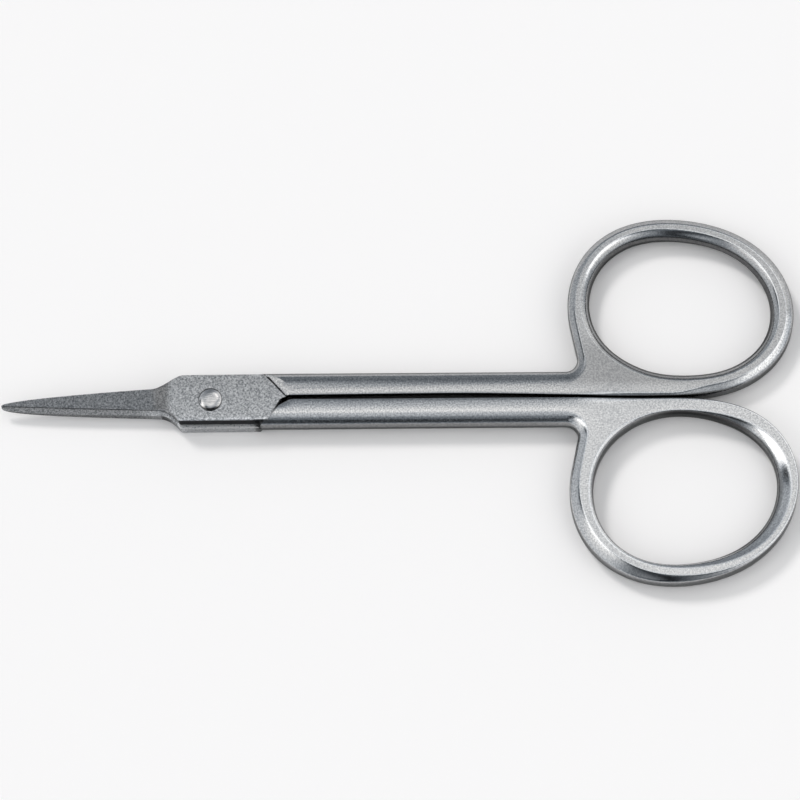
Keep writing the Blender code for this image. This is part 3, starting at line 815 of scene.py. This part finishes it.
class Surface:
    """Masks over a surface, from 0 to 1, by place and by the way it faces.

    x, y and z are in millimetres from the pivot's foot, in the piece's own frame.
    """

    def __init__(self, tree):
        self.tree = tree
        coordinates = tree.nodes.new("ShaderNodeTexCoord")
        self.place = coordinates.outputs["Object"]
        in_millimetres = tree.nodes.new("ShaderNodeVectorMath")
        in_millimetres.operation = "SCALE"
        in_millimetres.inputs["Scale"].default_value = 1.0 / MM
        tree.links.new(self.place, in_millimetres.inputs[0])
        self.x, self.y, self.z = self.parts(in_millimetres.outputs["Vector"])
        normal = self.parts(coordinates.outputs["Normal"])
        self.facing_x, self.facing_y, self.facing_z = normal
        self.upright = self.number("ABSOLUTE", self.facing_z)

    def parts(self, vector):
        node = self.tree.nodes.new("ShaderNodeSeparateXYZ")
        self.tree.links.new(vector, node.inputs["Vector"])
        return node.outputs

    def number(self, operation, *values):
        return math_node(self.tree, operation, *values)

    def rises(self, value, start, end):
        return ramp(self.tree, value, start, end, 0.0, 1.0)

    def falls(self, value, start, end):
        return ramp(self.tree, value, start, end, 1.0, 0.0)

    def within(self, value, start, full, full_end, end):
        """Rises from start to full, and falls from full_end to end."""
        return self.product(self.rises(value, start, full), self.falls(value, full_end, end))

    def product(self, first, *others):
        for other in others:
            first = self.number("MULTIPLY", first, other)
        return first

    def outside(self, mask):
        return self.number("SUBTRACT", 1.0, mask)

    def tone(self, mask, share):
        """The share where the mask is 1, and 1 where it is 0."""
        return self.number("MULTIPLY_ADD", mask, share - 1.0, 1.0)


def blade_and_joint_tones(s):
    """Painted shade and painted light on the blades and the joint: masks, each with the share of
    the colour that it leaves.
    """
    lower_leaf = s.falls(s.z, 1.55, 1.75)
    upper_leaf = s.outside(lower_leaf)
    top = s.rises(s.z, 2.9, 3.0)
    on_plate = s.falls(s.x, 6.2, 6.7)
    from_plate_front = s.rises(s.x, -4.0, -3.6)
    leaf_side = s.falls(s.facing_y, -0.92, -0.7)
    beside_plate = s.product(s.rises(s.x, -4.0, -3.7), s.falls(s.x, 5.5, 5.9))
    beside_blade = s.falls(s.x, -9.5, -7.5)
    root_slope = s.product(
        s.within(s.x, -7.3, -6.0, -5.4, -4.2), s.falls(s.facing_x, -0.14, -0.05)
    )
    root_side = s.product(
        leaf_side, s.rises(s.z, 1.58, 1.62), s.within(s.x, -9.5, -7.5, -4.0, -3.7)
    )
    shade_line_start = (BACK["shoulder"] - NOSE_SETBACK) / MM
    across = s.number("MULTIPLY_ADD", s.y, -NOSE_SLOPE, s.x)
    off_shade_line = s.number("ABSOLUTE", s.number("SUBTRACT", across, shade_line_start))
    painted_shade_line = s.product(
        s.falls(off_shade_line, 0.08, 0.2), s.within(s.y, -2.3, -0.5, 0.0, 0.05), top
    )
    ledge = s.product(
        s.falls(s.z, 1.58, 1.62),
        from_plate_front,
        s.falls(s.y, -2.3, -2.1),
        ramp(s.tree, s.facing_z, 0.0, 0.8, 0.2, 1.0),
        on_plate,
    )
    painted_edge_highlight = s.product(
        s.falls(s.y, -2.3, -2.02), from_plate_front, s.rises(s.facing_z, 0.25, 0.4), on_plate, top
    )
    return (
        # Painted shade on the slope where the blade's grind rises into the joint.
        (root_slope, 0.4),
        # Painted shade on the lower leaf near the blade's root.
        (s.product(lower_leaf, s.falls(s.x, -9.0, -5.5)), 0.6),
        # Painted shade on the upper leaf's side wall beside the joint.
        (s.product(leaf_side, upper_leaf, beside_plate), 0.12),
        # Painted shade on the upper leaf's side wall along the blade.
        (s.product(leaf_side, upper_leaf, beside_blade), 0.5),
        # Painted light on the upper leaf's side wall at the blade's root.
        (root_side, 3.5),
        # Painted shade: a dark line along the plate's diagonal end, where it steps down to the
        # shank.
        (painted_shade_line, 0.1),
        # Painted light on the ledge beside the joint.
        (ledge, 2.2),
        # Painted highlight along the plate's lower edge.
        (painted_edge_highlight, 1.5),
    )


def ring_tones(s, crest):
    """Painted shade and painted highlights on the finger rings: masks, each with the share of the
    colour that it leaves.
    """
    from_middle_x = s.number("SUBTRACT", s.x, RING_CENTRE_X / MM)
    from_middle_y = s.number("SUBTRACT", s.number("ABSOLUTE", s.y), RING_MIDDLE_Y / MM)
    facing_y = s.product(s.facing_y, s.number("SIGN", s.y))
    outward = s.number(
        "ADD", s.product(from_middle_x, s.facing_x), s.product(from_middle_y, facing_y)
    )
    inwards = s.falls(outward, -2.0, -1.0)
    lower_ring = s.falls(s.y, -0.5, 0.5)
    upper_ring = s.outside(lower_ring)
    in_rings = s.rises(s.x, 41.5, 42.0)
    far_half = s.rises(s.x, 55.0, 58.0)
    wall = s.number("MAXIMUM", s.falls(s.upright, 0.35, 0.6), s.falls(s.z, 2.2, 2.45))
    lower_web_side = s.product(lower_ring, s.falls(s.x, 46.0, 54.0))
    hole_wall = s.product(inwards, wall, in_rings, s.tone(lower_web_side, 0.3))
    hole_top = s.product(
        inwards,
        lower_ring,
        s.falls(s.facing_y, -0.45, -0.25),
        s.within(s.x, 48.0, 53.0, 59.5, 61.5),
        s.rises(s.z, 1.5, 2.1),
    )
    upper_hole_bevel = s.product(
        inwards,
        s.within(s.upright, 0.74, 0.82, 0.93, 0.98),
        s.rises(s.facing_x, 0.12, 0.28),
        s.falls(s.facing_y, -0.24, -0.08),
        upper_ring,
        in_rings,
    )
    lower_hole_bevel = s.product(
        inwards,
        s.within(s.upright, 0.74, 0.82, 0.95, 0.99),
        s.falls(s.facing_x, -0.3, -0.2),
        s.within(s.facing_y, -0.42, -0.36, -0.18, -0.1),
        lower_ring,
        far_half,
    )
    upper_rim = s.product(
        s.rises(outward, 1.0, 2.0),
        s.within(s.upright, 0.66, 0.76, 0.95, 0.99),
        s.rises(s.facing_x, 0.15, 0.3),
        s.falls(s.facing_y, -0.08, 0.02),
        upper_ring,
        far_half,
    )
    lower_rim = s.product(
        s.falls(s.facing_y, -0.45, -0.3),
        s.rises(s.upright, 0.6, 0.75),
        s.falls(s.y, -19.0, -17.0),
        s.within(s.x, 45.0, 48.0, 55.0, 61.0),
    )
    upper_crest = s.product(
        crest,
        upper_ring,
        s.falls(s.facing_x, -0.08, -0.02),
        s.falls(s.facing_y, -0.02, 0.02),
        s.rises(s.x, 54.0, 58.0),
    )
    upper_web = s.product(
        s.within(s.x, 38.0, 44.0, 52.0, 60.0), s.within(s.y, 1.0, 2.0, 5.0, 8.0)
    )
    return (
        # Painted shade on the walls of the finger holes, less at the lower ring's web.
        (hole_wall, 0.46),
        # Painted shade at the top of the lower ring's hole wall.
        (hole_top, 0.45),
        # Painted highlight on the upper ring's hole bevel, at its upper left.
        (upper_hole_bevel, 2.1),
        # Painted highlight on the lower ring's hole bevel, at its upper right.
        (lower_hole_bevel, 1.9),
        # Painted highlight on the upper ring's outer bevel, at its lower right.
        (upper_rim, 1.7),
        # Painted shade on the lower ring's outer bevel, along its bottom.
        (lower_rim, 0.5),
        # Painted highlight along the rings' crests.
        (crest, 1.85),
        # More painted highlight on the upper ring's crest, towards its right.
        (upper_crest, 1.8),
        # Painted shade on the upper ring's web.
        (upper_web, 0.77),
    )


def satin_steel(name, group, lightness):
    """Satin on the bars, and a duller, blasted finish on the blades and the joint.

    Painted shade darkens the sides, the hole walls, corners between the parts and a line at the
    joint, and painted highlights lighten crests, bevels, a ledge and edges. The lightness gives a
    lit or a shaded copy of the finish.
    """
    material, tree, shader = new_material(name)
    grain = place_grain(tree, group, *SATIN_GRAIN)
    s = Surface(tree)
    # The rings' crests: rougher, and lightened with a painted highlight in ring_tones.
    crest = s.product(s.within(s.facing_z, 0.88, 0.97, 0.975, 0.998), s.rises(s.x, 40.0, 44.0))

    dull = s.number("MAXIMUM", s.falls(s.x, 4.5, 5.5), s.rises(s.z, 3.15, 3.18))
    roughness = s.number("MULTIPLY_ADD", dull, BLASTED_ADDS, SATIN_ROUGHNESS)
    roughness = s.number("MULTIPLY_ADD", crest, CREST_ADDS, roughness)
    lowest = -SATIN_SPREAD / 2
    unevenness = s.number("MULTIPLY_ADD", grain.outputs["Grain"], SATIN_SPREAD, lowest)
    tree.links.new(s.number("ADD", roughness, unevenness), shader.inputs["Roughness"])

    speckle = math_node(tree, "MULTIPLY_ADD", grain.outputs["Grain"], 3.0, -1.0, clamp=True)
    satin_dark, satin_light = [[lightness * c for c in colour] for colour in SATIN_COLOURS]
    finish = tree.nodes.new("ShaderNodeMix")
    finish.data_type = "RGBA"
    tree.links.new(dull, finish.inputs["Factor"])
    tree.links.new(mixed_colour(tree, speckle, satin_dark, satin_light), finish.inputs["A"])
    tree.links.new(mixed_colour(tree, speckle, *BLASTED_COLOURS), finish.inputs["B"])

    # Painted shade: the steep sides are darkened, less so on the rings and not at all on the
    # blasted parts.
    side = s.falls(s.upright, 0.52, 0.68)
    side_shade_depth = ramp(tree, s.x, 36.0, 43.0, 0.63, 0.42)
    share = s.product(
        s.outside(s.product(side, s.falls(dull, 0.0, 1.0), side_shade_depth)),
        # Painted light and shade: lighter towards -Y and darker towards +Y.
        ramp(tree, s.y, -2.4, 2.8, 1.07, 0.9),
        *(s.tone(mask, tone) for mask, tone in blade_and_joint_tones(s)),
        *(s.tone(mask, tone) for mask, tone in ring_tones(s, crest)),
    )
    colour = scaled_colour(tree, finish.outputs["Result"], share)
    tree.links.new(colour, shader.inputs["Base Color"])
    shader.inputs["Specular Tint"].default_value = EDGE_REFLECTION
    bump(tree, shader, grain.outputs["Height"], *SATIN_BUMP)
    return material


def bright_steel(name, group):
    """The rivet's head: polished, with fine scratches, and painted shade round its foot, darkest on
    its side towards -Y.
    """
    material, tree, shader = new_material(name)
    grain = place_grain(tree, group, *POLISHED_GRAIN)
    s = Surface(tree)
    stretched = tree.nodes.new("ShaderNodeMapping")
    stretched.inputs["Rotation"].default_value = (0.0, 0.0, SCRATCH_TURN)
    stretched.inputs["Scale"].default_value = SCRATCH_STRETCH
    tree.links.new(s.place, stretched.inputs["Vector"])
    scratches = noise(tree, stretched.outputs["Vector"], SCRATCH_SCALE, 3.0, 0.7)
    streaks = math_node(tree, "MULTIPLY_ADD", scratches, 2.6, -0.8, clamp=True)
    # Painted shade round the head's foot, darkest on its side towards -Y.
    foot = s.product(
        ramp(tree, s.facing_z, 0.3, 0.72, 0.08, 1.0),
        ramp(tree, s.facing_y, -0.42, -0.2, 0.12, 1.0),
    )
    colour = scaled_colour(tree, mixed_colour(tree, streaks, *POLISHED_COLOURS), foot)
    tree.links.new(colour, shader.inputs["Base Color"])
    roughness = s.number(
        "MULTIPLY_ADD", grain.outputs["Grain"], POLISHED_SPREAD, POLISHED_ROUGHNESS
    )
    tree.links.new(roughness, shader.inputs["Roughness"])
    height = s.number("ADD", scratches, grain.outputs["Height"])
    bump(tree, shader, height, *POLISHED_BUMP)
    return material


# Stage


def stage_floor():
    bm = bmesh.new()
    bmesh.ops.create_grid(bm, x_segments=1, y_segments=1, size=FLOOR_HALF_WIDTH)
    bmesh.ops.translate(bm, verts=bm.verts, vec=(0.0, 0.0, -FLOOR_DROP))
    floor = object_from(bm, "floor")
    material = bpy.data.materials.new("floor_white")
    material.use_nodes = True
    shader = material.node_tree.nodes["Principled BSDF"]
    shader.inputs["Base Color"].default_value = FLOOR_COLOUR
    shader.inputs["Roughness"].default_value = FLOOR_ROUGHNESS
    shader.inputs["Specular IOR Level"].default_value = FLOOR_GLOSS
    floor.data.materials.append(material)
    return floor


def towards(azimuth, zenith):
    """A unit vector, from degrees round from +X and degrees down from straight up."""
    around, down = math.radians(azimuth), math.radians(zenith)
    return math.sin(down) * math.cos(around), math.sin(down) * math.sin(around), math.cos(down)


def studio_world():
    """A grey room with soft panels round it, lighter and darker than the room."""
    world = bpy.data.worlds.new("studio")
    bpy.context.scene.world = world
    world.use_nodes = True
    tree = world.node_tree
    direction = tree.nodes.new("ShaderNodeTexCoord").outputs["Generated"]
    light = STUDIO_GREY
    for azimuth, zenith, narrowness, brightness in PANELS:
        facing = tree.nodes.new("ShaderNodeVectorMath")
        facing.operation = "DOT_PRODUCT"
        tree.links.new(direction, facing.inputs[0])
        facing.inputs[1].default_value = towards(azimuth, zenith)
        power = math_node(tree, "MULTIPLY_ADD", facing.outputs["Value"], narrowness, -narrowness)
        glow = math_node(tree, "EXPONENT", power)
        light = math_node(tree, "MULTIPLY_ADD", glow, brightness, light)
    light = math_node(tree, "MAXIMUM", light, DARKEST_LIGHT)
    light = math_node(tree, "MINIMUM", light, BRIGHTEST_LIGHT)
    shader = tree.nodes["Background"]
    tree.links.new(light, shader.inputs["Strength"])
    tint = tree.nodes.new("ShaderNodeMix")
    tint.data_type = "RGBA"
    tint_share = math_node(tree, "MULTIPLY", light, LIGHT_TINT_SHARE, clamp=True)
    tree.links.new(tint_share, tint.inputs["Factor"])
    tint.inputs["A"].default_value = DARK_TINT
    tint.inputs["B"].default_value = LIGHT_TINT
    tree.links.new(tint.outputs["Result"], shader.inputs["Color"])


def lights():
    studio_world()
    data = bpy.data.lights.new("window", "SUN")
    data.energy = WINDOW_STRENGTH
    data.angle = WINDOW_ANGLE
    data.color = WINDOW_COLOUR
    obj = bpy.data.objects.new("window", data)
    bpy.context.scene.collection.objects.link(obj)
    to_window = Vector(towards(WINDOW_AZIMUTH, WINDOW_ZENITH))
    obj.rotation_euler = to_window.to_track_quat("Z", "Y").to_euler()
    obj.visible_glossy = False


def camera():
    view = (
        Matrix.Rotation(CAMERA_YAW, 4, "Y")
        @ Matrix.Rotation(-CAMERA_TILT, 4, "X")
        @ Matrix.Translation(CAMERA_SHIFT)
        @ Matrix.Rotation(CAMERA_ROLL, 4, "Z")
    )
    data = bpy.data.cameras.new("photo_camera")
    data.sensor_width = CAMERA_SENSOR
    data.lens = CAMERA_LENS
    data.clip_start = CAMERA_NEAR
    obj = bpy.data.objects.new("photo_camera", data)
    bpy.context.scene.collection.objects.link(obj)
    middle = Matrix.Translation((0.0, 0.0, LEAF_THICK))
    obj.matrix_world = middle @ view.inverted() @ Matrix.Translation((0.0, 0.0, CAMERA_DISTANCE))
    bpy.context.scene.camera = obj


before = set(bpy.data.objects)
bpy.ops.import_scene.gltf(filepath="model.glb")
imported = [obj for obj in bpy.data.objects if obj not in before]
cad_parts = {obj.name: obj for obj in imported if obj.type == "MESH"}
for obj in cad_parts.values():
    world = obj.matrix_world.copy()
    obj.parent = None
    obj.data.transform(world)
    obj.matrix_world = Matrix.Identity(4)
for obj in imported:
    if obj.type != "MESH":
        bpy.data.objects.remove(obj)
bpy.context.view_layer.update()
bpy.context.scene.view_settings.view_transform = "Standard"

grain = grain_group()
# A shaded copy of the satin for the back half and a lit copy for the front, as painted shade and
# light.
back_satin = satin_steel("satin_steel_back", grain, BACK_SHADED_LIGHTNESS)
front_satin = satin_steel("satin_steel_front", grain, FRONT_LIT_LIGHTNESS)
bright = bright_steel("bright_steel_finish", grain)

back = half("scissor_half_back", BACK, FRONT["shoulder"], peened_bore())
front = half("scissor_half_front", FRONT, BACK["shoulder"], headed_bore())
pin = rivet("joint_rivet")
seat(back, False)
seat(front, True)
shade(back, back_satin)
shade(front, front_satin)
shade(pin, bright)

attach(back, "back")
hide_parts("back_half")
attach(front, "front")
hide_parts("front_half")
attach(pin, "back")
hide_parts("pivot_rivet")

stage_floor()
lights()
camera()
